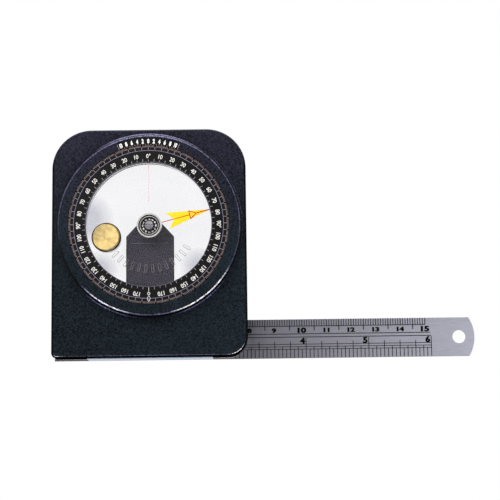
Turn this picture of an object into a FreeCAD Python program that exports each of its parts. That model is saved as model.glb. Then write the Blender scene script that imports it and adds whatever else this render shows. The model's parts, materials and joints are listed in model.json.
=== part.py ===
import FreeCAD, Part
import math
import os
import Sketcher

# Pendulum inclinometer with a rotating dial, a vernier and a sliding steel rule.
# The origin is the centre of the steel strip that the tool stands on. The dial faces -Y
# and the rule slides along X.
# Each size is written once here, in millimetres or degrees.
SIZES = {
    # case
    "case_width": 78.0,
    "case_height": 92.2,
    "base_block_height": 15.4,
    "front_reach": 6.7,
    "front_depth": 12.0,
    "back_depth": 6.0,
    "base_proud": 0.4,
    "top_corner_radius": 16.0,
    "base_right_radius": 8.0,
    "base_left_radius": 2.2,
    "rim_chamfer": 0.6,
    "seam_chamfer": 0.2,
    "overrun": 1.0,
    # raised bezel round the dial, and the round chamber behind it
    "bezel_height": 4.2,
    "bezel_side_margin": 2.1,
    "bezel_top_margin": 2.5,
    "bezel_chamfer": 0.7,
    "bezel_width": 4.8,
    "chamber_wall": 1.1,
    "vernier_width": 2.9,
    "vernier_angle": 43.8,
    "vernier_recess": 0.6,
    "vernier_thickness": 0.4,
    # dial, its lens and the ring that keeps it in the case
    "scale_width": 6.9,
    "dial_recess": 0.3,
    "dial_depth": 4.8,
    "dial_flange_step": 1.75,
    "dial_flange_thickness": 1.2,
    "dial_notch_width": 1.0,
    "dial_notch_depth": 0.5,
    "dial_notch_height": 1.5,
    "dial_notch_count": 3,
    "lens_setback": 1.5,
    "lens_thickness": 1.2,
    "retainer_width": 5.5,
    "retainer_thickness": 1.4,
    "face_gap": 0.15,
    "running_gap": 0.08,
    "axial_gap": 0.1,
    "seat_gap": 0.02,
    # back window
    "back_window_step": 4.2,
    "back_lens_thickness": 1.5,
    "back_lens_inset": 0.5,
    # bearing bracket, stud and nut
    "bracket_width": 19.3,
    "bracket_head_radius": 4.7,
    "bracket_shoulder_drop": 3.6,
    "bracket_step_drop": 6.5,
    "bracket_step_width": 15.0,
    "bracket_step_depth": 0.8,
    "bracket_foot_bite": 2.0,
    "bracket_thickness": 2.4,
    "spacer_radius": 2.0,
    "spacer_length": 2.5,
    "stud_radius": 1.22,
    "stud_head_radius": 2.0,
    "stud_head_thickness": 0.7,
    "stud_slot_width": 0.45,
    "stud_slot_depth": 0.3,
    "stud_tail": 0.5,
    "lens_clearance": 0.6,
    "nut_flats": 5.0,
    "nut_thickness": 1.6,
    # ball bearing
    "race_width": 2.8,
    "inner_race_radius": 2.08,
    "outer_race_bore": 3.22,
    "outer_race_radius": 4.25,
    "groove_mouth_share": 0.6,
    "ball_radius": 0.6,
    "ball_waist_share": 0.9,
    "ball_reach_share": 0.87,
    "ball_chamfer_share": 0.45,
    "ball_pitch_radius": 2.65,
    "ball_count": 12,
    "ball_gap": 0.05,
    "cage_inner_radius": 2.3,
    "cage_outer_radius": 3.0,
    "cage_setback": 0.4,
    "cage_thickness": 0.45,
    "cage_pocket_width": 1.0,
    # pendulum
    "arrow_angle": 75.2,
    "disc_overlap": 1.0,
    "disc_thickness": 1.5,
    "disc_setback": 1.3,
    "cup_wall": 0.7,
    "cup_lip": 0.3,
    "cup_tail": 0.9,
    "weight_inset": 1.35,
    "weight_hub_gap": 6.93,
    "weight_length": 4.4,
    "weight_chamfer": 0.5,
    "arrow_overreach": 0.4,
    "arrow_notch": 10.4,
    "arrow_tail": 7.6,
    "arrow_half_width": 3.33,
    "arrow_thickness": 0.25,
    # steel rule and its spring
    "rule_length": 170.0,
    "rule_width": 15.8,
    "rule_thickness": 0.6,
    "rule_end_sagitta": 2.3,
    "rule_hole_radius": 2.65,
    "rule_hole_inset": 6.3,
    "rule_side_gap": 0.15,
    "rule_edge_gap": 0.05,
    "rule_top_gap": 0.2,
    "spring_pocket_length": 24.0,
    "spring_pocket_height": 4.0,
    "spring_pocket_depth": 1.4,
    "spring_pocket_low": 6.4,
    "spring_thickness": 0.25,
    "spring_end_gap": 0.5,
    # base strip and magnets
    "strip_length": 50.0,
    "strip_width": 8.4,
    "strip_thickness": 2.0,
    "magnet_length": 20.0,
    "magnet_width": 6.0,
    "magnet_height": 4.0,
    "magnet_spacing": 24.0,
    # heads of the case screws
    "screw_side_inset": 6.6,
    "screw_top_inset": 8.2,
    "screw_base_inset": 21.2,
    "screw_head_radius": 2.5,
    "screw_head_thickness": 1.4,
    "screw_head_sink": 0.4,
    "screw_hole_gap": 0.2,
    "recess_arm_share": 0.62,
    "recess_width_share": 0.2,
    "recess_depth_share": 0.5,
}


class Size:
    """A length kept both as a number and as an expression on the sheet."""

    def __init__(self, value, text):
        self.value = value
        self.text = text

    def join(self, sign, other, value, swap=False):
        left, right = (words(other), self.text) if swap else (self.text, words(other))
        return Size(value, "(%s %s %s)" % (left, sign, right))

    def __add__(self, other):
        return self.join("+", other, self.value + number(other))

    def __radd__(self, other):
        return self.join("+", other, number(other) + self.value, swap=True)

    def __sub__(self, other):
        return self.join("-", other, self.value - number(other))

    def __rsub__(self, other):
        return self.join("-", other, number(other) - self.value, swap=True)

    def __mul__(self, other):
        return self.join("*", other, self.value * number(other))

    def __rmul__(self, other):
        return self.join("*", other, number(other) * self.value, swap=True)

    def __truediv__(self, other):
        return self.join("/", other, self.value / number(other))

    def __neg__(self):
        return Size(-self.value, "(0 - %s)" % self.text)


def number(length):
    return length.value if isinstance(length, Size) else float(length)


def words(length):
    return length.text if isinstance(length, Size) else "(%.12g)" % length


def root(length):
    return Size(math.sqrt(length.value), "sqrt(%s)" % length.text)


def least(first, second):
    return Size(min(first.value, second.value), "min(%s; %s)" % (first.text, second.text))


doc = FreeCAD.newDocument("inclinometer")
sheet = doc.addObject("Spreadsheet::Sheet", "Sizes")
for row, (name, value) in enumerate(SIZES.items(), 1):
    sheet.set("A%d" % row, name)
    sheet.set("B%d" % row, str(value))
    sheet.setAlias("B%d" % row, name)
doc.recompute()


def size(name):
    return Size(float(SIZES[name]), "Sizes." + name)


def bind(thing, path, length):
    """Ties a property to the sheet, or sets it where the length is a plain zero."""
    thing.setExpression(path, words(length))


def place(thing, x=0, y=0, z=0, turn=None):
    """Puts a piece at its place, turned about the Y axis where an angle is given."""
    if turn is not None:
        axis = FreeCAD.Vector(0, 1, 0)
        thing.Placement = FreeCAD.Placement(FreeCAD.Vector(0, 0, 0), FreeCAD.Rotation(axis, number(turn)))
        bind(thing, ".Placement.Rotation.Angle", turn)
    bind(thing, ".Placement.Base.x", x)
    bind(thing, ".Placement.Base.y", y)
    bind(thing, ".Placement.Base.z", z)


# The bezel is as large as the case's width and height both leave room for
half_width = size("case_width") / 2
foot_radius = least(half_width - size("bezel_side_margin"),
                    (size("case_height") - size("base_block_height") - size("bezel_top_margin")) / 2)
dial_height = size("base_proud") + size("case_height") - size("bezel_top_margin") - foot_radius
bore_radius = foot_radius - size("bezel_width")
chamber_radius = foot_radius - size("chamber_wall")
dial_radius = bore_radius - size("face_gap")
dial_flange_radius = dial_radius + size("dial_flange_step")
window_radius = dial_radius - size("scale_width")
disc_radius = window_radius + size("disc_overlap")
back_window_radius = window_radius + size("back_window_step")
cup_radius = size("outer_race_radius") + size("seat_gap") + size("cup_wall")
stud_hole_radius = size("stud_radius") + size("seat_gap")

# Places along Y, from the front to the back
front_face = -size("front_reach")
seam = front_face + size("front_depth")
back_face = seam + size("back_depth")
bezel_top = front_face - size("bezel_height")
dial_face = bezel_top + size("dial_recess")
dial_back = dial_face + size("dial_depth")
dial_flange_front = dial_back - size("dial_flange_thickness")
dial_shoulder = dial_flange_front - size("axial_gap")
retainer_front = dial_back + size("axial_gap")
lens_front = dial_face + size("lens_setback")
lens_back = lens_front + size("lens_thickness")
stud_front = lens_back + size("lens_clearance")
race_front = stud_front + size("stud_head_thickness")
race_back = race_front + size("race_width")
bracket_front = race_back + size("spacer_length")
bracket_back = bracket_front + size("bracket_thickness")
disc_front = race_front + size("disc_setback")
disc_back = disc_front + size("disc_thickness")
back_lens_back = back_face - size("back_lens_inset")
screw_seat = back_face - size("screw_head_sink") - size("screw_head_thickness")
rule_front = seam + size("rule_side_gap")
rule_back = rule_front + size("rule_thickness")
channel_back = rule_back + size("rule_side_gap")


def new_body(label, **where):
    body = doc.addObject("PartDesign::Body", label)
    body.Label = label
    body.AllowCompound = True
    place(body, **where)
    return body


def new_sketch(body, plane, offset=0):
    """A sketch on one of the body's own origin planes, moved along the plane's normal."""
    sketch = body.newObject("Sketcher::SketchObject", "sketch")
    origin = [item for item in body.Origin.OriginFeatures if item.Role == plane + "_Plane"]
    sketch.AttachmentSupport = [(origin[0], "")]
    sketch.MapMode = "FlatFace"
    bind(sketch, "AttachmentOffset.Base.z", offset)
    return sketch


def pin_point(sketch, element, corner, x, y):
    """Fixes one point of a sketch by its two coordinates."""
    for kind, length in (("DistanceX", x), ("DistanceY", y)):
        index = sketch.addConstraint(Sketcher.Constraint(kind, -1, 1, element, corner, number(length)))
        bind(sketch, "Constraints[%d]" % index, length)


def polygon(sketch, points):
    """A closed outline of straight lines."""
    first = sketch.GeometryCount
    spots = [FreeCAD.Vector(number(x), number(y), 0) for x, y in points]
    for here, there in zip(spots, spots[1:] + spots[:1]):
        sketch.addGeometry(Part.LineSegment(here, there), False)
    for index in range(len(points)):
        following = first + (index + 1) % len(points)
        sketch.addConstraint(Sketcher.Constraint("Coincident", first + index, 2, following, 1))
    for index, (x, y) in enumerate(points):
        pin_point(sketch, first + index, 1, x, y)


def rectangle(sketch, low_x, low_y, high_x, high_y):
    polygon(sketch, [(low_x, low_y), (high_x, low_y), (high_x, high_y), (low_x, high_y)])


def circle(sketch, x, y, radius):
    spot = FreeCAD.Vector(number(x), number(y), 0)
    element = sketch.addGeometry(Part.Circle(spot, FreeCAD.Vector(0, 0, 1), number(radius)), False)
    pin_point(sketch, element, 3, x, y)
    index = sketch.addConstraint(Sketcher.Constraint("Radius", element, number(radius)))
    bind(sketch, "Constraints[%d]" % index, radius)


def extrude(body, kind, sketch, length, reverse=False):
    """A Pad or a Pocket along the sketch's normal, or against it."""
    feature = body.newObject("PartDesign::" + kind, kind)
    feature.Profile = sketch
    feature.Reversed = reverse
    bind(feature, "Length", length)
    doc.recompute()
    return feature


def pad_between(body, front, back, draw, kind="Pad"):
    """Pads or pockets what draw puts in a sketch, between two places along Y."""
    sketch = new_sketch(body, "XZ", -back)
    draw(sketch)
    return extrude(body, kind, sketch, back - front, reverse=(kind == "Pocket"))


def turn_profile(body, points, kind="Revolution", angle=None):
    """Turns an outline about the Y axis: a full turn, or a sector centred on +Z."""
    sketch = new_sketch(body, "XY" if angle is None else "YZ")
    polygon(sketch, points)
    feature = body.newObject("PartDesign::" + kind, kind)
    feature.Profile = sketch
    feature.ReferenceAxis = (sketch, ["V_Axis" if angle is None else "H_Axis"])
    if angle is None:
        feature.Angle = 360
    else:
        bind(feature, "Angle", angle)
        feature.Midplane = True
    doc.recompute()


def turned(label, points, **where):
    """A round piece whose outline is given as radius and place along Y."""
    body = new_body(label, **where)
    turn_profile(body, points)
    return body


def ring_points(inner, outer, front, back):
    return [(inner, front), (outer, front), (outer, back), (inner, back)]


def edges(feature, test):
    """The names of the edges whose ends all pass a test."""
    found = []
    for index, edge in enumerate(feature.Shape.Edges, 1):
        ends = [edge.valueAt(edge.FirstParameter), edge.valueAt(edge.LastParameter)]
        ends.append(edge.valueAt((edge.FirstParameter + edge.LastParameter) / 2))
        if all(test(spot) for spot in ends):
            found.append("Edge%d" % index)
    return found


def dress(body, kind, names, length):
    """A Fillet or Chamfer on named edges of the body's tip."""
    base = body.Tip
    feature = body.newObject("PartDesign::" + kind, kind)
    feature.Base = (base, names)
    bind(feature, "Radius" if kind == "Fillet" else "Size", length)
    doc.recompute()
    return feature


CLOSE = 1e-4


def near(first, second):
    return abs(number(first) - number(second)) < CLOSE


def corner_edges(feature, x, z):
    """Edges along Y that stand at one corner."""
    return edges(feature, lambda spot: near(spot.x, x) and near(spot.z, z))


# Corners of the case and its screws, seen from the dial's centre
case_low = size("base_proud") - dial_height
case_high = case_low + size("case_height")
screw_side = half_width - size("screw_side_inset")
screw_high = case_high - size("screw_top_inset")
screw_low = case_low + size("screw_base_inset")
SCREW_PLACES = [(-screw_side, screw_low), (screw_side, screw_low),
                (-screw_side, screw_high), (screw_side, screw_high)]
# The bracket's foot stands in a slot below the chamber
bracket_half = size("bracket_width") / 2
bracket_foot = -(chamber_radius + size("bracket_foot_bite"))


def at_screws(radius):
    def draw(sketch):
        for x, z in SCREW_PLACES:
            circle(sketch, x, z, radius)
    return draw


def round_hole(body, front, back, radius):
    pad_between(body, front, back, lambda sketch: circle(sketch, 0, 0, radius), "Pocket")


def case_half(label, front, back):
    """One half of the case: a block with the case's four corners."""
    body = new_body(label, z=dial_height)
    block = pad_between(body, front, back, lambda sketch: rectangle(
        sketch, -half_width, case_low, half_width, case_high))
    names = corner_edges(block, half_width, case_high) + corner_edges(block, -half_width, case_high)
    block = dress(body, "Fillet", names, size("top_corner_radius"))
    block = dress(body, "Fillet", corner_edges(block, half_width, case_low), size("base_right_radius"))
    dress(body, "Fillet", corner_edges(block, -half_width, case_low), size("base_left_radius"))
    return body


def rim(feature, place_y):
    """The edges that lie in one plane across Y."""
    return edges(feature, lambda spot: near(spot.y, place_y))


def make_front_case():
    body = case_half("front_case", front_face, seam)
    dress(body, "Chamfer", rim(body.Tip, front_face), size("rim_chamfer"))
    pad_between(body, bezel_top, front_face, lambda sketch: circle(sketch, 0, 0, foot_radius))
    dress(body, "Chamfer", rim(body.Tip, bezel_top), size("bezel_chamfer"))
    over_front = bezel_top - size("overrun")
    over_back = seam + size("overrun")
    turn_profile(body, [
        (0, over_front), (bore_radius, over_front), (bore_radius, dial_shoulder),
        (chamber_radius, dial_shoulder), (chamber_radius, over_back), (0, over_back)], "Groove")
    cut_vernier_recess(body)
    half = bracket_half + size("running_gap")
    pad_between(body, bracket_front, seam, lambda sketch: rectangle(
        sketch, -half, bracket_foot - size("running_gap"), half, -bore_radius), "Pocket")
    cut_base_pockets(body)


def cut_vernier_recess(body):
    floor = bezel_top + size("vernier_recess")
    over = bezel_top - size("overrun")
    inner = bore_radius - size("face_gap")
    outer = bore_radius + size("vernier_width")
    points = [(over, inner), (over, outer), (floor, outer), (floor, inner)]
    turn_profile(body, points, "Groove", size("vernier_angle"))


def make_vernier_plate():
    body = new_body("vernier_plate", z=dial_height)
    back = bezel_top + size("vernier_recess")
    front = back - size("vernier_thickness")
    outer = bore_radius + size("vernier_width") - size("seat_gap")
    points = [(front, bore_radius), (front, outer), (back, outer), (back, bore_radius)]
    turn_profile(body, points, "Revolution", size("vernier_angle") - 2 * size("seat_gap"))


def make_dial_ring():
    body = turned("dial_ring", [
        (window_radius, dial_face), (dial_radius, dial_face), (dial_radius, dial_flange_front),
        (dial_flange_radius, dial_flange_front), (dial_flange_radius, dial_back),
        (window_radius, dial_back)], z=dial_height)
    half = size("dial_notch_width") / 2
    notch_back = dial_face + size("dial_notch_height")
    notch = pad_between(body, dial_face, notch_back, lambda sketch: rectangle(
        sketch, -half, window_radius - size("overrun"), half,
        window_radius + size("dial_notch_depth")), "Pocket")
    repeat(body, notch, "dial_notch_count")


def make_lenses():
    radius = window_radius - size("seat_gap")
    turned("front_lens", [(0, lens_front), (radius, lens_front), (radius, lens_back), (0, lens_back)],
           z=dial_height)
    radius = back_window_radius - size("seat_gap")
    front = back_lens_back - size("back_lens_thickness")
    turned("back_lens", [(0, front), (radius, front), (radius, back_lens_back), (0, back_lens_back)],
           z=dial_height)


def make_dial_retainer():
    outer = chamber_radius - size("seat_gap")
    turned("dial_retainer", ring_points(outer - size("retainer_width"), outer, retainer_front,
                                        retainer_front + size("retainer_thickness")), z=dial_height)


def make_back_case():
    body = case_half("back_case", seam, back_face)
    dress(body, "Chamfer", rim(body.Tip, back_face), size("rim_chamfer"))
    dress(body, "Chamfer", rim(body.Tip, seam), size("seam_chamfer"))
    round_hole(body, seam, back_face, back_window_radius)
    pad_between(body, screw_seat, back_face,
                at_screws(size("screw_head_radius") + size("screw_hole_gap")), "Pocket")
    cut_rule_channel(body)
    # A rib that pinches the bracket's foot in its slot
    pad_between(body, bracket_back, seam, lambda sketch: rectangle(
        sketch, -bracket_half, bracket_foot, bracket_half, -(chamber_radius - size("bracket_foot_bite"))))


def cut_rule_channel(body):
    """The slot for the rule runs from side to side and is open at the base."""
    side = half_width + size("overrun")
    top = size("rule_edge_gap") + size("rule_width") + size("rule_top_gap") - dial_height
    pad_between(body, seam, channel_back, lambda sketch: rectangle(
        sketch, -side, case_low - size("overrun"), side, top), "Pocket")
    half = size("spring_pocket_length") / 2
    low = case_low + size("spring_pocket_low")
    pad_between(body, channel_back, channel_back + size("spring_pocket_depth"), lambda sketch: rectangle(
        sketch, -half, low, half, low + size("spring_pocket_height")), "Pocket")


def cut_base_pockets(body):
    gap = size("seat_gap")
    half = size("strip_length") / 2 + gap
    reach_y = size("strip_width") / 2 + gap
    strip_top = size("strip_thickness") - dial_height
    pad_between(body, -reach_y, reach_y, lambda sketch: rectangle(
        sketch, -half, case_low - size("overrun"), half, strip_top), "Pocket")

    def draw(sketch):
        for centre in magnet_centres():
            reach = size("magnet_length") / 2 + gap
            rectangle(sketch, centre - reach, strip_top - gap, centre + reach,
                      strip_top + size("magnet_height"))
    reach_y = size("magnet_width") / 2 + gap
    pad_between(body, -reach_y, reach_y, draw, "Pocket")


def magnet_centres():
    return -(size("magnet_spacing") / 2), size("magnet_spacing") / 2


def make_base_strip():
    body = new_body("base_strip")
    half = size("strip_length") / 2
    reach_y = size("strip_width") / 2
    pad_between(body, -reach_y, reach_y,
                lambda sketch: rectangle(sketch, -half, 0, half, size("strip_thickness")))
    magnets = new_body("base_magnets")

    def draw(sketch):
        for centre in magnet_centres():
            reach = size("magnet_length") / 2
            rectangle(sketch, centre - reach, size("strip_thickness"), centre + reach,
                      size("strip_thickness") + size("magnet_height"))
    pad_between(magnets, -(size("magnet_width") / 2), size("magnet_width") / 2, draw)


def make_case_screws():
    """Four screw heads in their counterbores, each with a cross."""
    body = new_body("case_screws", z=dial_height)
    head = size("screw_head_radius")
    head_back = screw_seat + size("screw_head_thickness")
    pad_between(body, screw_seat, head_back, at_screws(head))
    arm = head * size("recess_arm_share")
    half = head * size("recess_width_share")
    depth = size("screw_head_thickness") * size("recess_depth_share")
    for wide, high in ((arm, half), (half, arm)):
        def draw(sketch, wide=wide, high=high):
            for x, z in SCREW_PLACES:
                rectangle(sketch, x - wide, z - high, x + wide, z + high)
        pad_between(body, head_back - depth, head_back, draw, "Pocket")


def make_bearing_bracket():
    """A house-shaped arm: its shoulders slope up to a round head behind the bearing."""
    body = new_body("bearing_bracket", z=dial_height)
    half = bracket_half
    shoulder = -size("bracket_shoulder_drop")
    head = size("bracket_head_radius")
    # The tangent from a shoulder to the round head
    reach_squared = half * half + shoulder * shoulder
    run = root(reach_squared - head * head)
    touch_x = (head * head * half - head * shoulder * run) / reach_squared
    touch_z = (head * head * shoulder + head * half * run) / reach_squared
    outline = [(-half, bracket_foot), (half, bracket_foot), (half, shoulder), (touch_x, touch_z),
               (-touch_x, touch_z), (-half, shoulder)]
    thin_front = bracket_front + size("bracket_step_depth")
    pad_between(body, thin_front, bracket_back, lambda sketch: polygon(sketch, outline))
    pad_between(body, thin_front, bracket_back, lambda sketch: circle(sketch, 0, 0, head))
    half_step = size("bracket_step_width") / 2
    step = -size("bracket_step_drop")
    slant = half - half_step
    pad_between(body, bracket_front, bracket_back, lambda sketch: polygon(sketch, [
        (-half, bracket_foot), (half, bracket_foot), (half, step - slant), (half_step, step),
        (-half_step, step), (-half, step - slant)]))
    pad_between(body, race_back, bracket_back, lambda sketch: circle(sketch, 0, 0, size("spacer_radius")))
    round_hole(body, race_back, bracket_back, stud_hole_radius)


def make_stud():
    radius = size("stud_radius")
    nut_back = bracket_back + size("nut_thickness")
    tail = nut_back + size("stud_tail")
    head = size("stud_head_radius")
    body = turned("bearing_stud", [(0, stud_front), (head, stud_front), (head, race_front),
                                   (radius, race_front), (radius, tail), (0, tail)], z=dial_height)
    half = size("stud_slot_width") / 2
    side = head + size("overrun")
    pad_between(body, stud_front, stud_front + size("stud_slot_depth"),
                lambda sketch: rectangle(sketch, -side, -half, side, half), "Pocket")
    nut = doc.addObject("Part::Prism", "nut_block")
    nut.Polygon = 6
    bind(nut, "Circumradius", size("nut_flats") / math.sqrt(3))
    bind(nut, "Height", size("nut_thickness"))
    hole = doc.addObject("Part::Cylinder", "nut_hole")
    bind(hole, "Radius", stud_hole_radius)
    bind(hole, "Height", size("nut_thickness"))
    for item in (nut, hole):
        item.Placement.Rotation = FreeCAD.Rotation(FreeCAD.Vector(1, 0, 0), 90)
        bind(item, ".Placement.Base.y", nut_back)
        bind(item, ".Placement.Base.z", dial_height)
    drilled = doc.addObject("Part::Cut", "stud_nut")
    drilled.Base = nut
    drilled.Tool = hole
    drilled.Label = "stud_nut"


def repeat(body, feature, count):
    """Repeats a feature round the dial's axis."""
    pattern = body.newObject("PartDesign::PolarPattern", "pattern")
    pattern.Originals = [feature]
    pattern.Axis = ([item for item in body.Origin.OriginFeatures if item.Role == "Y_Axis"][0], [""])
    pattern.Angle = 360
    bind(pattern, "Occurrences", size(count))
    body.Tip = pattern
    doc.recompute()


# Where the balls lie, and the room that each has in the races and the cage
race_middle = (race_front + race_back) / 2
ball_room = size("ball_radius") + size("ball_gap")


def race(label, land, wall, floor):
    """A race with a groove for the balls in its land, the face towards them."""
    mouth = ball_room * size("groove_mouth_share")
    turned(label, [(wall, race_front), (land, race_front), (land, race_middle - mouth), (floor, race_middle),
                   (land, race_middle + mouth), (land, race_back), (wall, race_back)], z=dial_height)


BALL_SIDES = 8


def make_balls():
    """Each ball is an eight-sided block, chamfered till its corners lie on one sphere."""
    body = new_body("bearing_balls", z=dial_height)
    waist = size("ball_radius") * size("ball_waist_share")
    reach = size("ball_radius") * size("ball_reach_share")
    turns = [2 * math.pi * (index + 0.5) / BALL_SIDES for index in range(BALL_SIDES)]
    corners = [(waist * math.sin(turn), size("ball_pitch_radius") + waist * math.cos(turn)) for turn in turns]
    front = race_middle - reach
    back = race_middle + reach
    block = pad_between(body, front, back, lambda sketch: polygon(sketch, corners))
    repeat(body, block, "ball_count")
    dress(body, "Chamfer", rim(body.Tip, front) + rim(body.Tip, back),
          size("ball_radius") * size("ball_chamfer_share"))


def make_cage():
    """A crown: one ring behind the balls, with a pocket for each."""
    front = race_middle + size("cage_setback")
    body = turned("bearing_cage", ring_points(size("cage_inner_radius"), size("cage_outer_radius"), front,
                                              front + size("cage_thickness")), z=dial_height)
    half = size("cage_pocket_width") / 2
    sketch = new_sketch(body, "XY")
    rectangle(sketch, -half, race_middle, half, race_middle + ball_room)
    pocket = extrude(body, "Pocket", sketch, size("cage_outer_radius") + size("overrun"), reverse=True)
    repeat(body, pocket, "ball_count")


def make_bearing():
    race("bearing_inner_race", size("inner_race_radius"), stud_hole_radius,
         size("ball_pitch_radius") - ball_room)
    race("bearing_outer_race", size("outer_race_bore"), size("outer_race_radius"),
         size("ball_pitch_radius") + ball_room)
    make_balls()
    make_cage()


def make_pendulum():
    swing = {"z": dial_height, "turn": size("arrow_angle")}
    room = window_radius - size("weight_inset") - size("weight_hub_gap") - cup_radius
    weight_radius = room / 2
    weight_z = weight_radius + size("weight_inset") - window_radius
    seat = size("outer_race_radius") + size("seat_gap")
    cup_front = race_front - size("cup_lip")
    turned("hub_cup", ring_points(seat, cup_radius, cup_front, disc_back + size("cup_tail")), **swing)
    disc = turned("pointer_disc", ring_points(cup_radius + size("seat_gap"), disc_radius,
                                              disc_front, disc_back), **swing)
    pad_between(disc, disc_front, disc_back, lambda sketch: circle(
        sketch, 0, weight_z, weight_radius + size("seat_gap")), "Pocket")
    weight = new_body("pointer_weight", **swing)
    pad_between(weight, race_front, race_front + size("weight_length"),
                lambda sketch: circle(sketch, 0, weight_z, weight_radius))
    dress(weight, "Chamfer", rim(weight.Tip, race_front), size("weight_chamfer"))
    arrow = new_body("pointer_arrow", **swing)
    half = size("arrow_half_width")
    pad_between(arrow, disc_front - size("arrow_thickness"), disc_front, lambda sketch: polygon(sketch, [
        (0, size("arrow_notch")), (half, size("arrow_tail")), (0, window_radius + size("arrow_overreach")),
        (-half, size("arrow_tail"))]))


def make_rule():
    """The rule's outer end is a shallow arc through three points."""
    body = new_body("steel_rule")
    left = -half_width
    right = left + size("rule_length")
    low = size("rule_edge_gap")
    high = low + size("rule_width")
    middle = (low + high) / 2
    shoulder = right - size("rule_end_sagitta")
    half = size("rule_width") / 2
    sagitta = size("rule_end_sagitta")
    end_radius = (half * half + sagitta * sagitta) / (2 * sagitta)

    def draw(sketch):
        corners = [(shoulder, high), (left, high), (left, low), (shoulder, low)]
        spots = [FreeCAD.Vector(number(x), number(z), 0) for x, z in corners]
        for here, there in zip(spots, spots[1:]):
            sketch.addGeometry(Part.LineSegment(here, there), False)
        crown = FreeCAD.Vector(number(right), number(middle), 0)
        sketch.addGeometry(Part.Arc(spots[3], crown, spots[0]), False)
        for index in range(3):
            pin_point(sketch, index, 1, *corners[index])
        pin_point(sketch, 2, 2, *corners[3])
        for first, second in ((0, 1), (1, 2)):
            sketch.addConstraint(Sketcher.Constraint("Coincident", first, 2, second, 1))
        sketch.addConstraint(Sketcher.Constraint("Coincident", 2, 2, 3, 1))
        sketch.addConstraint(Sketcher.Constraint("Coincident", 0, 1, 3, 2))
        index = sketch.addConstraint(Sketcher.Constraint("Radius", 3, number(end_radius)))
        bind(sketch, "Constraints[%d]" % index, end_radius)
        circle(sketch, right - size("rule_hole_inset"), middle, size("rule_hole_radius"))
    pad_between(body, rule_front, rule_back, draw)


def make_rule_spring():
    """A bowed leaf: its crown rubs the rule and its ends rest in the case's pocket."""
    crown = rule_back + size("running_gap")
    heel = channel_back + size("spring_pocket_depth") - size("seat_gap")
    thickness = size("spring_thickness")
    half = size("spring_pocket_length") / 2 - size("spring_end_gap")
    rise = heel - crown
    radius = (half * half + rise * rise) / (2 * rise)
    height = size("spring_pocket_height") - 2 * size("running_gap")
    low = size("base_proud") + size("spring_pocket_low") + size("running_gap")

    def cylinder(name, cylinder_radius):
        item = doc.addObject("Part::Cylinder", name)
        bind(item, "Radius", cylinder_radius)
        bind(item, "Height", height)
        place(item, 0, crown + radius, low)
        return item
    leaf = doc.addObject("Part::Cut", "spring_hoop")
    leaf.Base = cylinder("spring_outside", radius)
    leaf.Tool = cylinder("spring_inside", radius - thickness)
    box = doc.addObject("Part::Box", "spring_reach")
    bind(box, "Length", 2 * half)
    bind(box, "Width", rise)
    bind(box, "Height", height)
    place(box, -half, crown, low)
    spring = doc.addObject("Part::Common", "rule_spring")
    spring.Base = leaf
    spring.Tool = box
    spring.Label = "rule_spring"


make_front_case()
make_back_case()
make_vernier_plate()
make_dial_ring()
make_lenses()
make_dial_retainer()
make_base_strip()
make_case_screws()
make_bearing_bracket()
make_stud()
make_bearing()
make_pendulum()
make_rule()
make_rule_spring()
doc.recompute()

# Every labelled piece, one file each
NODES = ["front_case", "back_case", "case_screws", "vernier_plate", "dial_retainer", "bearing_bracket",
         "bearing_stud", "stud_nut", "bearing_inner_race", "back_lens", "base_strip", "base_magnets",
         "rule_spring", "dial_ring", "front_lens", "pointer_disc", "pointer_arrow", "pointer_weight",
         "hub_cup", "bearing_outer_race", "bearing_balls", "bearing_cage", "steel_rule"]

for item in doc.Objects:
    if "Invalid" in item.State or "Error" in item.State:
        raise RuntimeError("%s failed: %s" % (item.Label, item.State))
pieces = {name: doc.getObjectsByLabel(name)[0] for name in NODES}
for name, piece in pieces.items():
    if piece.Shape.isNull() or not piece.Shape.isValid():
        raise RuntimeError(name + " has no sound shape")
os.makedirs("parts", exist_ok=True)
for name, piece in pieces.items():
    piece.Shape.exportStep("parts/%s.step" % name)
    box = piece.Shape.BoundBox
    print("%-20s solids %2d volume %9.2f  x %.2f %.2f  y %.2f %.2f  z %.2f %.2f" % (
        name, len(piece.Shape.Solids), piece.Shape.Volume, box.XMin, box.XMax, box.YMin, box.YMax,
        box.ZMin, box.ZMax))
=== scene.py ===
import bmesh
import bpy
import json
import math
from math import radians
from mathutils import Matrix, Vector


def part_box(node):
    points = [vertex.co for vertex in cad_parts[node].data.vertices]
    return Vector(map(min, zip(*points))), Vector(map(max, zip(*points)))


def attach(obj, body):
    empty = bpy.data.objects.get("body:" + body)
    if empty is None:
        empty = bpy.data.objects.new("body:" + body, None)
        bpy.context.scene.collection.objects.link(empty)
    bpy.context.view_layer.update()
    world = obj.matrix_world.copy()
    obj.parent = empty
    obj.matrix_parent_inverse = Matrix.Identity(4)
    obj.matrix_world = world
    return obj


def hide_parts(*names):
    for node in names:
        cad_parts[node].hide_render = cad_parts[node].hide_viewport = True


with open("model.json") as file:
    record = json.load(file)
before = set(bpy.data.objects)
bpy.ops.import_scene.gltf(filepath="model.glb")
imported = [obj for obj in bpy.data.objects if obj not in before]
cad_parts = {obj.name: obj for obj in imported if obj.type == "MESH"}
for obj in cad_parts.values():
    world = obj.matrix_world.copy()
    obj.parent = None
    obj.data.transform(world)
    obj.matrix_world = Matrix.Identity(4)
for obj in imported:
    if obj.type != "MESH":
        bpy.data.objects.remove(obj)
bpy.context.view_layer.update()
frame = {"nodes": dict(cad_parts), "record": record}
scene = bpy.context.scene
MM = 0.001

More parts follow.
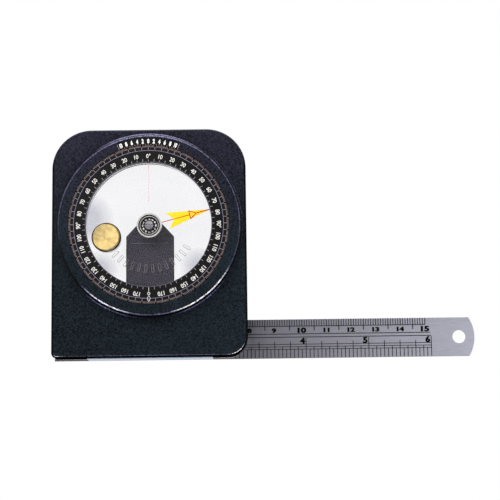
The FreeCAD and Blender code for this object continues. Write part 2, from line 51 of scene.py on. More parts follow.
# The dial's centre and the faces that carry prints, read from the frame
ring_low, ring_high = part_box("dial_ring")
DIAL = Vector(((ring_low.x + ring_high.x) / 2, 0, (ring_low.z + ring_high.z) / 2))
DIAL_FACE = ring_low.y
VERNIER_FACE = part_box("vernier_plate")[0].y
LENS_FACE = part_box("front_lens")[0].y
ARROW_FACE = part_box("pointer_arrow")[0].y
rule_low, rule_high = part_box("steel_rule")
RULE_FACE = rule_low.y
WINDOW_RADIUS = (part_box("front_lens")[1].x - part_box("front_lens")[0].x) / 2
WINDOW_EDGE = 0.3 * MM
BEZEL_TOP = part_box("front_case")[0].y
BEZEL_HEIGHT = 4.2 * MM
FRONT_FACE = BEZEL_TOP + BEZEL_HEIGHT
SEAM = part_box("front_case")[1].y
BEZEL_RADIUS = 36.9 * MM
CORNER_LEFT = 2.2 * MM
CORNER_RIGHT = 8.0 * MM
HALF_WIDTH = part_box("front_case")[1].x
CASE_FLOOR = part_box("front_case")[0].z
BRACKET_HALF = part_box("bearing_bracket")[1].x
# The front half's lip along the seam, which carries a painted highlight
LIP = 3.2 * MM
RIM_HEIGHT = 1.2 * MM


# Materials

def adder(tree):
    """A helper that adds a node to a tree. Its inputs are numbers to set or sockets to link."""
    def add(kind, inputs=None, **settings):
        node = tree.nodes.new("ShaderNode" + kind)
        for key, value in settings.items():
            setattr(node, key, value)
        for key, value in (inputs or {}).items():
            if isinstance(value, bpy.types.NodeSocket):
                tree.links.new(value, node.inputs[key])
            else:
                node.inputs[key].default_value = value
        return node

    return add


def new_material(name):
    """A material with its node tree, its shader and the helper that adds nodes."""
    material = bpy.data.materials.new(name)
    material.use_nodes = True
    tree = material.node_tree
    return material, tree, tree.nodes["Principled BSDF"], adder(tree)


def shade(colour, share):
    return tuple(max(0.0, channel * share) for channel in colour) + (1.0,)


def turned(add, centre, place=None):
    """The distance from an axis along Y through the centre, and the place measured from it."""
    place = place or add("TexCoord").outputs["Object"]
    shifted = add("VectorMath", {0: place, 1: centre}, operation="SUBTRACT").outputs["Vector"]
    parts = add("SeparateXYZ", {"Vector": shifted})
    flat = add("CombineXYZ", {"X": parts.outputs["X"], "Y": parts.outputs["Z"]})
    reach = add("VectorMath", {0: flat.outputs["Vector"]}, operation="LENGTH").outputs["Value"]
    return reach, parts, shifted


def within(add, value, low, high):
    """One where the value lies between two limits."""
    return add("Math", {0: value, 1: (low + high) / 2, 2: (high - low) / 2},
               operation="COMPARE").outputs["Value"]


def both(add, first, second):
    return add("Math", {0: first, 1: second}, operation="MULTIPLY").outputs["Value"]


def over(add, mask, below, above):
    """Lays a colour over another where the mask is one."""
    return add("Mix", {"Factor": mask, "A": below, "B": above}, data_type="RGBA").outputs["Result"]


def run(add, share, stops):
    """A colour that changes along a share from zero to one."""
    ramp = add("ValToRGB", {"Fac": share})
    points = ramp.color_ramp.elements
    for index, (position, colour) in enumerate(stops):
        point = points[index] if index < 2 else points.new(position)
        point.position = position
        point.color = colour + (1.0,)
    return ramp.outputs["Color"]


def patches(add, place, spots):
    """One at the middle of each round spot, and zero outside it. A spot is a centre and a reach."""
    share = None
    for centre, reach in spots:
        away = add("VectorMath", {0: place, 1: centre}, operation="DISTANCE")
        near = add("MapRange", {"Value": away.outputs["Value"], "From Min": reach,
                                "From Max": reach * 0.4})
        share = near.outputs["Result"] if share is None else add(
            "Math", {0: share, 1: near.outputs["Result"]}, operation="MAXIMUM").outputs["Value"]
    return share


def speckled(tree, shader, add, vector, colour, spread, scale, rough, rough_spread, bump, depth,
             slope=None, paint=None):
    """Fine grain: it varies the colour and the roughness, and raises the surface a little.

    A slope is an axis, its two ends and the colour at the far end. A paint lays further colours
    over the base before the grain is laid on."""
    fine = add("TexNoise", {"Vector": vector, "Scale": scale, "Detail": 3.0, "Roughness": 0.6})
    broad = add("TexNoise", {"Vector": vector, "Scale": scale / 60, "Detail": 2.0, "Roughness": 0.5})
    blend = add("Mix", {"Factor": 0.2, "A": fine.outputs["Fac"], "B": broad.outputs["Fac"]})
    grain = add("MapRange", {"Value": blend.outputs["Result"], "From Min": 0.36, "From Max": 0.64,
                             "To Min": 1 - spread, "To Max": 1 + spread}, clamp=True)
    base = add("RGB").outputs["Color"]
    base.default_value = colour + (1.0,)
    if slope:
        axis, start, end, far = slope
        parts = add("SeparateXYZ", {"Vector": add("TexCoord").outputs["Object"]})
        share = add("MapRange", {"Value": parts.outputs[axis], "From Min": start, "From Max": end})
        base = over(add, share.outputs["Result"], base, far + (1.0,))
    if paint:
        base = paint(add, base)
    tinted = add("VectorMath", {0: base, 3: grain.outputs["Result"]}, operation="SCALE")
    tree.links.new(tinted.outputs["Vector"], shader.inputs["Base Color"])
    wide = add("MapRange", {"Value": broad.outputs["Fac"], "From Min": 0.3, "From Max": 0.7,
                            "To Min": rough - rough_spread, "To Max": rough + rough_spread})
    tree.links.new(wide.outputs["Result"], shader.inputs["Roughness"])
    raised = add("Bump", {"Height": fine.outputs["Fac"], "Strength": bump, "Distance": depth})
    tree.links.new(raised.outputs["Normal"], shader.inputs["Normal"])


def plastic(name, colour, rough=0.5, spread=0.2, scale=2600.0, bump=0.35, depth=0.00006,
            specular=0.3, rough_spread=0.06, slope=None, paint=None):
    material, tree, shader, add = new_material(name)
    place = add("TexCoord").outputs["Object"]
    speckled(tree, shader, add, place, colour, spread, scale, rough, rough_spread, bump, depth, slope,
             paint)
    shader.inputs["Specular IOR Level"].default_value = specular
    return material


def metal(name, colour, rough=0.3, spread=0.12, stretch=(1.0, 1.0, 1.0), scale=900.0, bump=0.15,
          depth=0.00002, rough_spread=0.06, slope=None, paint=None):
    """Metal whose grain is drawn out along the axes with a small stretch."""
    material, tree, shader, add = new_material(name)
    place = add("Mapping", {"Vector": add("TexCoord").outputs["Object"], "Scale": stretch})
    speckled(tree, shader, add, place.outputs["Vector"], colour, spread, scale, rough, rough_spread,
             bump, depth, slope, paint)
    shader.inputs["Metallic"].default_value = 1.0
    return material


def turned_metal(name, colour, centre, rough=0.25, spread=0.12, rings=9000.0, bands=()):
    """Metal with fine rings about an axis along Y. A band is its two radii and its colour."""
    material, tree, shader, add = new_material(name)
    reach, parts, shifted = turned(add, centre)
    rows = add("CombineXYZ", {"X": reach, "Y": parts.outputs["Y"]})
    fine = add("TexNoise", {"Vector": rows.outputs["Vector"], "Scale": rings, "Detail": 2.0})
    cloud = add("TexNoise", {"Vector": shifted, "Scale": 500.0, "Detail": 3.0})
    blend = add("Mix", {"Factor": 0.5, "A": fine.outputs["Fac"], "B": cloud.outputs["Fac"]})
    grain = add("MapRange", {"Value": blend.outputs["Result"], "From Min": 0.36, "From Max": 0.64,
                             "To Min": 1 - spread, "To Max": 1 + spread})
    base = add("RGB").outputs["Color"]
    base.default_value = colour + (1.0,)
    for inner, outer, tone in bands:
        base = over(add, within(add, reach, inner, outer), base, tone + (1.0,))
    tinted = add("VectorMath", {0: base, 3: grain.outputs["Result"]}, operation="SCALE")
    tree.links.new(tinted.outputs["Vector"], shader.inputs["Base Color"])
    wide = add("MapRange", {"Value": cloud.outputs["Fac"], "From Min": 0.3, "From Max": 0.7,
                            "To Min": rough * 0.75, "To Max": rough * 1.3})
    tree.links.new(wide.outputs["Result"], shader.inputs["Roughness"])
    raised = add("Bump", {"Height": fine.outputs["Fac"], "Strength": 0.12, "Distance": 0.00002})
    tree.links.new(raised.outputs["Normal"], shader.inputs["Normal"])
    shader.inputs["Metallic"].default_value = 1.0
    return material


def clear_plastic(name, tint, rough=0.02, spots=()):
    """Clear acrylic with faint haze and flow marks. Lamps shine through it."""
    material, tree, shader, add = new_material(name)
    place = add("TexCoord").outputs["Object"]
    haze = add("TexNoise", {"Vector": place, "Scale": 32.0, "Detail": 3.0, "Roughness": 0.45})
    ramp = add("ValToRGB", {"Fac": haze.outputs["Fac"]})
    ramp.color_ramp.elements[0].position = 0.36
    ramp.color_ramp.elements[0].color = shade(tint, 0.975)
    ramp.color_ramp.elements[1].position = 0.6
    ramp.color_ramp.elements[1].color = shade(tint, 1.0)
    colour = ramp.outputs["Color"]
    # Spots lay grey patches of painted shade on the plastic
    if spots:
        colour = over(add, patches(add, place, spots), colour, (0.66, 0.66, 0.72, 1.0))
    tree.links.new(colour, shader.inputs["Base Color"])
    shader.inputs["Roughness"].default_value = rough
    shader.inputs["IOR"].default_value = 1.25
    shader.inputs["Transmission Weight"].default_value = 1.0
    open_way = add("BsdfTransparent", {"Color": tint + (1.0,)})
    path = add("LightPath")
    mixed = add("MixShader", {0: path.outputs["Is Shadow Ray"], 1: shader.outputs["BSDF"],
                              2: open_way.outputs["BSDF"]})
    tree.links.new(mixed.outputs["Shader"], tree.nodes["Material Output"].inputs["Surface"])
    return material


# Painted highlights and painted shade along the case's edges. Stops run round the bezel as shares
# of a turn, from the bottom over the left side, and along the lower rim from left to right.
BLACK = (0.002, 0.003, 0.004)
CREST_PAINTED_LIGHT = ((0.0, (0.05, 0.05, 0.09)), (0.03, (0.12, 0.12, 0.2)), (0.06, (0.75, 0.73, 0.85)),
              (0.095, (0.75, 0.73, 0.85)), (0.125, (0.05, 0.05, 0.1)), (0.14, BLACK), (0.21, BLACK),
              (0.27, (0.035, 0.035, 0.06)), (0.4, (0.07, 0.065, 0.12)), (0.46, (0.15, 0.15, 0.24)),
              (0.54, (0.15, 0.15, 0.24)), (0.62, (0.07, 0.065, 0.12)), (0.73, (0.065, 0.062, 0.11)),
              (0.79, (0.02, 0.022, 0.03)), (0.83, (0.04, 0.04, 0.1)), (0.86, (0.65, 0.63, 0.67)),
              (0.93, (0.75, 0.71, 0.73)), (0.965, (0.14, 0.14, 0.25)), (1.0, (0.05, 0.05, 0.09)))
WALL_PAINTED_LIGHT = ((0.0, BLACK), (0.4, BLACK), (0.45, (0.1, 0.1, 0.17)), (0.55, (0.1, 0.1, 0.17)),
             (0.6, BLACK), (1.0, BLACK))
FOOT_PAINTED_LIGHT = ((0.0, BLACK), (0.035, (0.03, 0.03, 0.06)), (0.06, (0.13, 0.13, 0.26)),
             (0.095, (0.13, 0.13, 0.26)), (0.12, (0.012, 0.014, 0.02)), (0.5, (0.012, 0.014, 0.02)),
             (0.6, (0.04, 0.04, 0.06)), (0.72, (0.04, 0.04, 0.06)), (0.78, (0.01, 0.012, 0.018)),
             (0.85, (0.01, 0.012, 0.018)), (0.88, (0.09, 0.09, 0.2)), (0.93, (0.08, 0.08, 0.18)),
             (0.96, (0.01, 0.01, 0.02)), (1.0, BLACK))
RIM_PAINTED_LIGHT = ((0.0, BLACK), (0.012, BLACK), (0.018, (0.35, 0.34, 0.42)), (0.031, (0.7, 0.68, 0.75)),
            (0.047, (0.25, 0.24, 0.3)), (0.077, (0.08, 0.085, 0.12)), (0.5, (0.095, 0.1, 0.14)),
            (0.756, (0.085, 0.085, 0.14)), (0.897, (0.085, 0.08, 0.13)), (0.92, (0.5, 0.46, 0.48)),
            (0.934, (0.95, 0.92, 0.9)), (0.962, (0.8, 0.8, 0.85)), (0.977, (0.12, 0.12, 0.18)),
            (0.988, BLACK), (1.0, BLACK))
# The radii of the painted lines round the bezel. The crest's painted highlight lies a little off centre.
CREST_BAND = (35.9 * MM, 36.32 * MM)
CREST_SHIFT = Vector((0.2, 0, -0.3)) * MM
WALL_BAND = (36.3 * MM, 37.15 * MM)
FOOT_BAND = (37.15 * MM, 37.55 * MM)
# Depths inside the case's outline: the painted shade of the edge, the painted highlight of the rim
# and the painted shade of a side
DARK_BAND = (-1.0 * MM, 0.48 * MM)
RIM_BAND = (0.48 * MM, 0.8 * MM)
SIDE_DARK, SIDE_CLEAR = 0.7 * MM, 1.1 * MM


def case_wear(add, base):
    """Painted highlights and shade on the case's front edges, and painted shade on its left side."""
    place = add("TexCoord").outputs["Object"]
    parts = add("SeparateXYZ", {"Vector": place})
    across, height = parts.outputs["X"], parts.outputs["Z"]
    raised = add("Math", {0: parts.outputs["Y"], 1: BEZEL_TOP + 1.0 * MM}, operation="LESS_THAN")
    reach, around_dial, _ = turned(add, DIAL, place)
    angle = add("Math", {0: around_dial.outputs["X"], 1: around_dial.outputs["Z"]}, operation="ARCTAN2")
    turn = add("MapRange", {"Value": angle.outputs["Value"], "From Min": -math.pi, "From Max": math.pi})
    turn = turn.outputs["Result"]
    crest, _, _ = turned(add, DIAL + CREST_SHIFT, place)
    front = add("Math", {0: parts.outputs["Y"], 1: FRONT_FACE + 1.0 * MM}, operation="LESS_THAN")
    front = front.outputs["Value"]
    # Lines of painted highlight and painted shade round the bezel, by angle
    for distance, band, side, stops in ((reach, WALL_BAND, front, WALL_PAINTED_LIGHT),
                                        (reach, FOOT_BAND, front, FOOT_PAINTED_LIGHT),
                                        (crest, CREST_BAND, raised.outputs["Value"], CREST_PAINTED_LIGHT)):
        base = over(add, both(add, within(add, distance, *band), side), base, run(add, turn, stops))
    # How far a place lies inside the case's outline, near its two lower corners
    inside = []
    for centre_x, way, radius in ((HALF_WIDTH - CORNER_RIGHT, 1, CORNER_RIGHT),
                                  (-HALF_WIDTH + CORNER_LEFT, -1, CORNER_LEFT)):
        out = add("Math", {0: across, 1: way, 2: -way * centre_x}, operation="MULTIPLY_ADD")
        side = add("Math", {0: out.outputs["Value"], 1: 0.0}, operation="MAXIMUM")
        down = add("Math", {0: CASE_FLOOR + radius, 1: height}, operation="SUBTRACT")
        below = add("Math", {0: down.outputs["Value"], 1: 0.0}, operation="MAXIMUM")
        corner = add("CombineXYZ", {"X": side.outputs["Value"], "Y": below.outputs["Value"]})
        far = add("VectorMath", {0: corner.outputs["Vector"]}, operation="LENGTH")
        inside.append(add("Math", {0: radius, 1: far.outputs["Value"]}, operation="SUBTRACT"))
    depth = add("Math", {0: inside[0].outputs["Value"], 1: inside[1].outputs["Value"]},
                operation="MINIMUM").outputs["Value"]
    share = add("MapRange", {"Value": across, "From Min": -HALF_WIDTH, "From Max": HALF_WIDTH})
    left = add("MapRange", {"Value": across, "From Min": -HALF_WIDTH + SIDE_CLEAR,
                            "From Max": -HALF_WIDTH + SIDE_DARK})
    # Painted shade along the left side and the lower edges, and a painted highlight along the rim
    base = over(add, left.outputs["Result"], base, BLACK + (1.0,))
    base = over(add, within(add, depth, *DARK_BAND), base, BLACK + (1.0,))
    return over(add, both(add, within(add, depth, *RIM_BAND), front), base,
                run(add, share.outputs["Result"], RIM_PAINTED_LIGHT))


# The case's plastic is lighter towards its top: painted light. Its edges carry painted light and shade.
CASE = plastic("case_plastic_grain", (0.006, 0.0098, 0.0138), rough=0.5, spread=0.9, scale=1450.0,
               bump=0.5, specular=0.05, slope=("Z", 0.045, 0.09, (0.0125, 0.0118, 0.021)),
               paint=case_wear)
# A darker, glossless copy of the case's plastic for the sides, underside and bezel wall: painted shade
SHADED_PLASTIC = plastic("case_plastic_painted_shade", (0.003, 0.0035, 0.004), rough=0.6, spread=0.4, scale=1100.0,
                bump=0.2, specular=0.0)


# The middle and the reach of the lip's brightest painted highlight
SEAM_SPOT = ((0.036, SEAM, 0.003), 0.014)


def seam_wear(add, base):
    """The painted highlight on the lip along the seam is brighter round the right corner."""
    place = add("TexCoord").outputs["Object"]
    corner = patches(add, place, (SEAM_SPOT,))
    return over(add, corner, base, (0.9, 0.88, 0.95, 1.0))


# The lip is bright metal that mirrors the floor, a painted highlight of the lit seam
SEAM_HIGHLIGHT = metal("seam_painted_highlight", (0.3, 0.28, 0.31), rough=0.3, spread=0.25, scale=500.0,
                  paint=seam_wear)


def dial_rim(add, base):
    """The window's edge is a little paler."""
    reach = turned(add, DIAL)[0]
    return over(add, within(add, reach, WINDOW_RADIUS, WINDOW_RADIUS + WINDOW_EDGE), base,
                (0.07, 0.066, 0.08, 1.0))


# Half the widths of the bracket's side lines of painted shade and of its step
SIDE_LINE = 0.32 * MM
STEP_HALF = 7.4 * MM
# The step's painted shade line and painted highlight line: heights above the dial's centre and colours
STEP_LINES = ((-7.0 * MM, -6.62 * MM, (0.003, 0.003, 0.008)),
              (-6.62 * MM, -6.2 * MM, (0.085, 0.085, 0.13)))


def bracket_step(add, base):
    """The bracket's sides in painted shade, and its step: a painted highlight above a line of shade."""
    parts = add("SeparateXYZ", {"Vector": add("TexCoord").outputs["Object"]})
    for side in (-1, 1):
        edge = within(add, parts.outputs["X"], side * BRACKET_HALF - SIDE_LINE,
                      side * BRACKET_HALF + SIDE_LINE)
        base = over(add, edge, base, (0.003, 0.003, 0.006, 1.0))
    width = within(add, parts.outputs["X"], -STEP_HALF, STEP_HALF)
    for low, high, tone in STEP_LINES:
        row = within(add, parts.outputs["Z"], DIAL.z + low, DIAL.z + high)
        base = over(add, both(add, row, width), base, tone + (1.0,))
    return base


# The Y of the normals of a ball's dark part, painted reflection of its pocket. The front has minus one.
DARK_REFLECTED = (-0.58, 1.1)


def ball_rim(add, base):
    """The side and the back of each ball are dark: a painted reflection of its dark pocket."""
    facing = add("SeparateXYZ", {"Vector": add("TexCoord").outputs["Normal"]}).outputs["Y"]
    return over(add, within(add, facing, *DARK_REFLECTED), base, (0.012, 0.011, 0.011, 1.0))


DIAL_BLACK = plastic("dial_plastic_satin", (0.004, 0.004, 0.0045), rough=0.38, spread=0.2,
                     scale=3500.0, bump=0.12, specular=0.12, paint=dial_rim)
INNER = plastic("inner_plastic_plain", (0.012, 0.012, 0.014), rough=0.55, spread=0.2, scale=3000.0)
BRACKET = plastic("bracket_plastic_satin", (0.018, 0.0142, 0.0275), rough=0.5, spread=0.35,
                  scale=900.0, bump=0.12, specular=0.2, paint=bracket_step)
CLEAR = clear_plastic("clear_acrylic", (0.985, 0.985, 0.99))
# Grey patches of painted shade on the lens, by their places from the dial's centre and their reaches
SHADE_SPOTS = [(DIAL + Vector((x, LENS_FACE / MM, z)) * MM, reach)
              for x, z, reach in ((-24.5, 2.5, 0.011), (-20.0, -18.0, 0.008), (20.0, -17.0, 0.008))]
SHADED_CLEAR = clear_plastic("clear_acrylic_painted_shade", (0.985, 0.985, 0.99), spots=SHADE_SPOTS)
# The ribs' sides are opaque grey, a painted reflection of the clear ribs' edges
RIB_SHEEN = plastic("lens_rib_painted_sheen", (0.16, 0.145, 0.15), rough=0.4, spread=0.5, scale=700.0)
SCREW = metal("screw_zinc", (0.32, 0.32, 0.34), rough=0.32, scale=1500.0)
NEAR_BLACK = (0.008, 0.007, 0.008)
BRASS_PAINTED_SHADE = (0.02, 0.012, 0.005)
# Near black beyond 1.72 mm from the axis: painted shade inside the bearing
STUD = turned_metal("stud_turned_steel", (0.24, 0.225, 0.245), DIAL, rough=0.36, spread=0.8,
                    bands=((1.72 * MM, 6 * MM, NEAR_BLACK),))
# The race is near black, painted shade deep in the bearing, with a ring of painted highlight on its bore
RACE = turned_metal("bearing_ground_steel", NEAR_BLACK, DIAL, rough=0.22,
                    bands=((3.56 * MM, 3.78 * MM, (0.9, 0.87, 0.82)),))
BALL = metal("ball_chrome_steel", (0.97, 0.97, 0.97), rough=0.5, spread=0.02, bump=0.02, paint=ball_rim)
# The cage is near black: painted shade between the balls
CAGE = metal("cage_pressed_steel", (0.04, 0.04, 0.045), rough=0.4)
STRIP = metal("strip_ground_steel", (0.4, 0.47, 0.6), rough=0.3, spread=0.15,
              stretch=(0.02, 1.0, 1.0), scale=2500.0)
MAGNET = plastic("magnet_ferrite", (0.05, 0.05, 0.055), rough=0.7, scale=1800.0)
SPRING = metal("spring_blued_steel", (0.2, 0.22, 0.3), rough=0.3, stretch=(0.03, 1.0, 1.0))
ARROW = plastic("arrow_yellow_film", (0.98, 0.62, 0.0), rough=0.4, spread=0.04, scale=900.0,
                bump=0.05, specular=0.2)
weight_low, weight_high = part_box("pointer_weight")
# The painted rings of light and shade on the weight lie a little off its centre
WEIGHT_CENTRE = (weight_low + weight_high) / 2 + Vector((-0.3, 0, 0.1)) * MM
# Rings of painted shade lie either side of a ring of painted highlight round the weight's face
WEIGHT = turned_metal("weight_satin_brass", (0.84, 0.63, 0.25), WEIGHT_CENTRE, rough=0.38, spread=0.08,
                      rings=4500.0, bands=((5.25 * MM, 5.42 * MM, BRASS_PAINTED_SHADE),
                                           (5.42 * MM, 5.65 * MM, (0.5, 0.34, 0.12)),
                                           (5.65 * MM, 8 * MM, BRASS_PAINTED_SHADE)))
# The cup's dark ring is painted shade in the gap by the outer race
CUP = turned_metal("cup_chrome_plate", (0.95, 0.93, 0.9), DIAL, rough=0.14, spread=0.06,
                   bands=((3.7 * MM, 4.35 * MM, (0.012, 0.011, 0.012)),))
# The rule is darker towards its left end, by the case: painted shade
RULE = metal("rule_brushed_steel", (0.155, 0.152, 0.18), rough=0.42, rough_spread=0.015, spread=0.1,
             stretch=(0.05, 1.0, 1.0), scale=5200.0, bump=0.08,
             slope=("X", 0.045, 0.13, (0.415, 0.412, 0.485)))
# The rule's downward faces are near black: painted shade
RULE_UNDERSIDE_SHADE = metal("rule_underside_painted_shade", (0.02, 0.02, 0.025), rough=0.5)
WHITE_INK = plastic("white_ink", (0.78, 0.77, 0.74), rough=0.5, spread=0.06, scale=4000.0, bump=0.1)
PALE_INK = plastic("pale_ink", (0.66, 0.64, 0.6), rough=0.5, spread=0.06, scale=4000.0, bump=0.1)
GREY_INK = plastic("grey_ink", (0.24, 0.215, 0.23), rough=0.5, spread=0.12, scale=4000.0, bump=0.1)
BROWN_INK = plastic("brown_ink", (0.2, 0.14, 0.14), rough=0.5, spread=0.15, scale=4000.0, bump=0.1)
RED_INK = plastic("red_ink", (0.52, 0.022, 0.012), rough=0.45, spread=0.08, scale=4000.0, bump=0.1,
                  specular=0.1)
LILAC_INK = plastic("lilac_ink", (0.2, 0.19, 0.27), rough=0.5, spread=0.12, scale=4000.0, bump=0.1)
PINK_INK = plastic("pink_ink", (0.6, 0.45, 0.47), rough=0.5, spread=0.08, scale=4000.0, bump=0.1,
                   specular=0.0)
BLACK_INK = plastic("black_etch", (0.01, 0.01, 0.011), rough=0.55, spread=0.2, scale=4000.0, bump=0.1)


# Pieces

# The least Y of a flat face's normal, the angle below which faces become one, and the angle of
# the edges that are rounded
FLAT = 0.9999
SAME_FACE = radians(0.6)
ROUNDED_EDGE = radians(25.0)


def new_piece(name, mesh, material, body, slot):
    piece = bpy.data.objects.new(name, mesh)
    scene.collection.objects.link(piece)
    piece.data.materials.clear()
    piece.data.materials.append(material)
    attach(piece, body)
    return piece


BODIES = {node: body for body, nodes in frame["record"]["behaviour"]["bodies"].items() for node in nodes}
SLOTS = {row["node"]: row["material_slot"] for row in frame["record"]["subparts"]}


def settle(piece):
    """Turns the modifiers of a piece into its mesh. Faces that look along Y are shaded flat."""
    bpy.context.view_layer.update()
    finished = piece.evaluated_get(bpy.context.evaluated_depsgraph_get())
    mesh = bpy.data.meshes.new_from_object(finished)
    piece.modifiers.clear()
    piece.data = mesh
    for face in mesh.polygons:
        face.use_smooth = abs(face.normal.y) < FLAT


def soften(node, width, material, segments=3, cut=None):
    """Stands for a CAD node with a copy whose edges are rounded. A cut divides its faces at a depth."""
    mesh = frame["nodes"][node].data.copy()
    grid = bmesh.new()
    grid.from_mesh(mesh)
    bmesh.ops.remove_doubles(grid, verts=grid.verts, dist=1e-7)
    bmesh.ops.dissolve_limit(grid, angle_limit=SAME_FACE, verts=grid.verts, edges=grid.edges)
    if cut is not None:
        bmesh.ops.bisect_plane(grid, geom=grid.verts[:] + grid.edges[:] + grid.faces[:],
                               plane_co=(0, cut, 0), plane_no=(0, 1, 0))
    for face in grid.faces:
        face.smooth = True
    grid.to_mesh(mesh)
    grid.free()
    piece = new_piece(node + "_finish", mesh, material, BODIES[node], SLOTS[node])
    bevel = piece.modifiers.new("rounding", "BEVEL")
    bevel.width = width
    bevel.segments = segments
    bevel.limit_method = "ANGLE"
    bevel.angle_limit = ROUNDED_EDGE
    bevel.harden_normals = True
    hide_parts(node)
    settle(piece)
    return piece


def recolour(piece, materials, choose):
    """Gives the faces of a piece further materials, by a number from one up."""
    for material in materials:
        piece.data.materials.append(material)
    for face in piece.data.polygons:
        face.material_index = choose(face.center, face.normal)


def case_part(spot, normal):
    """Zero: the grained plastic; one: painted shade; two: the front half's lip, a painted highlight.

    The sides are told from the fronts by their normals."""
    outer = spot.z < CASE_FLOOR + (CORNER_RIGHT if spot.x > HALF_WIDTH - CORNER_RIGHT else RIM_HEIGHT)
    if outer and SEAM - LIP < spot.y < SEAM and normal.z < -0.03 and abs(normal.y) < 0.5:
        return 2
    if spot.z < CASE_FLOOR + CORNER_RIGHT and normal.z < -0.25:
        return 1
    if abs(normal.x) > 0.35 and abs(spot.x) > HALF_WIDTH - SIDE_DARK:
        return 1
    reach = math.hypot(spot.x - DIAL.x, spot.z - DIAL.z)
    return 1 if abs(normal.y) < 0.5 and abs(reach - BEZEL_RADIUS) < 0.1 * MM else 0


def keep(node, material):
    """A CAD node that stays gets the better material."""
    for slot in frame["nodes"][node].material_slots:
        slot.material = material


# The case halves get painted shade on their sides and underside, and the lip's painted highlight
for case_half in (soften("front_case", 0.0004, CASE, segments=4, cut=SEAM - LIP),
                  soften("back_case", 0.0003, CASE)):
    recolour(case_half, (SHADED_PLASTIC, SEAM_HIGHLIGHT), case_part)
soften("vernier_plate", 0.00006, DIAL_BLACK, segments=2)
soften("dial_ring", 0.00012, DIAL_BLACK, segments=2)
soften("dial_retainer", 0.0002, INNER, segments=2)
soften("bearing_bracket", 0.0002, BRACKET)
soften("bearing_stud", 0.00012, STUD)
soften("stud_nut", 0.00015, STUD)
soften("bearing_inner_race", 0.00008, STUD)
soften("bearing_outer_race", 0.00014, RACE)
soften("hub_cup", 0.0002, CUP)
soften("pointer_weight", 0.0001, WEIGHT)
soften("base_strip", 0.00015, STRIP)
soften("base_magnets", 0.0003, MAGNET)
lens = soften("front_lens", 0.00015, SHADED_CLEAR)
soften("back_lens", 0.0002, CLEAR)
soften("pointer_disc", 0.00012, CLEAR)
# The rule's downward faces take the painted shade
recolour(soften("steel_rule", 0.00008, RULE, segments=2), (RULE_UNDERSIDE_SHADE,),
         lambda spot, normal: int(normal.z < -0.5))
soften("case_screws", 0.00015, SCREW)
keep("bearing_cage", CAGE)
keep("rule_spring", SPRING)
keep("pointer_arrow", ARROW)

# Twelve smooth balls
BALL_COUNT = 12
BALL_RADIUS = 0.6 * MM
BALL_PITCH = 2.65 * MM
ball_low, ball_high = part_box("bearing_balls")
ball_y = (ball_low.y + ball_high.y) / 2
grid = bmesh.new()
for index in range(BALL_COUNT):
    turn = 2 * math.pi * index / BALL_COUNT
    spot = DIAL + Vector((BALL_PITCH * math.sin(turn), ball_y, BALL_PITCH * math.cos(turn)))
    bmesh.ops.create_icosphere(grid, subdivisions=3, radius=BALL_RADIUS, matrix=Matrix.Translation(spot))
for face in grid.faces:
    face.smooth = True
ball_mesh = bpy.data.meshes.new("bearing_balls_finish")
grid.to_mesh(ball_mesh)
grid.free()
balls = new_piece("bearing_balls_finish", ball_mesh, BALL, "ball_cage", "ball_chrome")
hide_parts("bearing_balls")


# Prints

PRINT = 0.02 * MM


